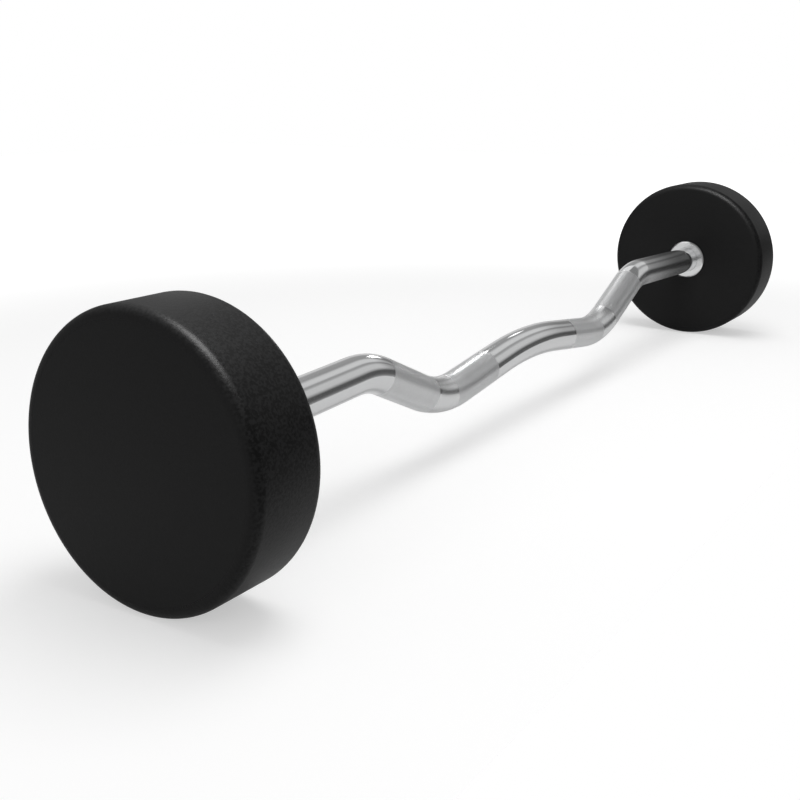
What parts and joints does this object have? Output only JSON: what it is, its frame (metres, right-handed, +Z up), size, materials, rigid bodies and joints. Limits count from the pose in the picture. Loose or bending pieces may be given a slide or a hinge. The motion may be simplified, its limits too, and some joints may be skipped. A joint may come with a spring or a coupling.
{
  "type": "cambered curl barbell",
  "caption": "Fixed-weight curl barbell: a chromed bar bent into a shallow W with knurled grips, held at each end in a round rubber-cased iron head.",
  "frame": {"origin": "on the floor below the middle of the bar, the bottom centre of the overall box", "axes": "+X along the bar, +Z up, the bar's bends lie in the X-Z plane"},
  "size_m": [1.068, 0.2, 0.2],
  "materials": {
    "bar_chrome": "polished chrome plate, diamond knurled on the grips",
    "collar_chrome": "turned face, bright chrome plate",
    "casing_rubber": "matte moulded rubber with a fine grain",
    "cover_rubber": "matte moulded rubber with a fine grain",
    "core_iron": "as cast, faces turned",
    "turned_steel": "turned",
    "fastener_steel": "black oxide"
  },
  "bodies": {
    "root": {"cambered_bar": "bar_chrome", "left_rubber_casing": "casing_rubber", "right_rubber_casing": "casing_rubber", "left_face_cover": "cover_rubber", "right_face_cover": "cover_rubber", "left_iron_core": "core_iron", "right_iron_core": "core_iron", "left_inner_collar": "collar_chrome", "right_inner_collar": "collar_chrome", "left_core_bush": "turned_steel", "right_core_bush": "turned_steel", "left_end_washer": "turned_steel", "right_end_washer": "turned_steel", "left_spring_washer": "fastener_steel", "right_spring_washer": "fastener_steel", "left_end_bolt": "fastener_steel", "right_end_bolt": "fastener_steel", "left_upper_dowel_pin": "turned_steel", "left_lower_dowel_pin": "turned_steel", "right_upper_dowel_pin": "turned_steel", "right_lower_dowel_pin": "turned_steel"}
  },
  "joints": []
}
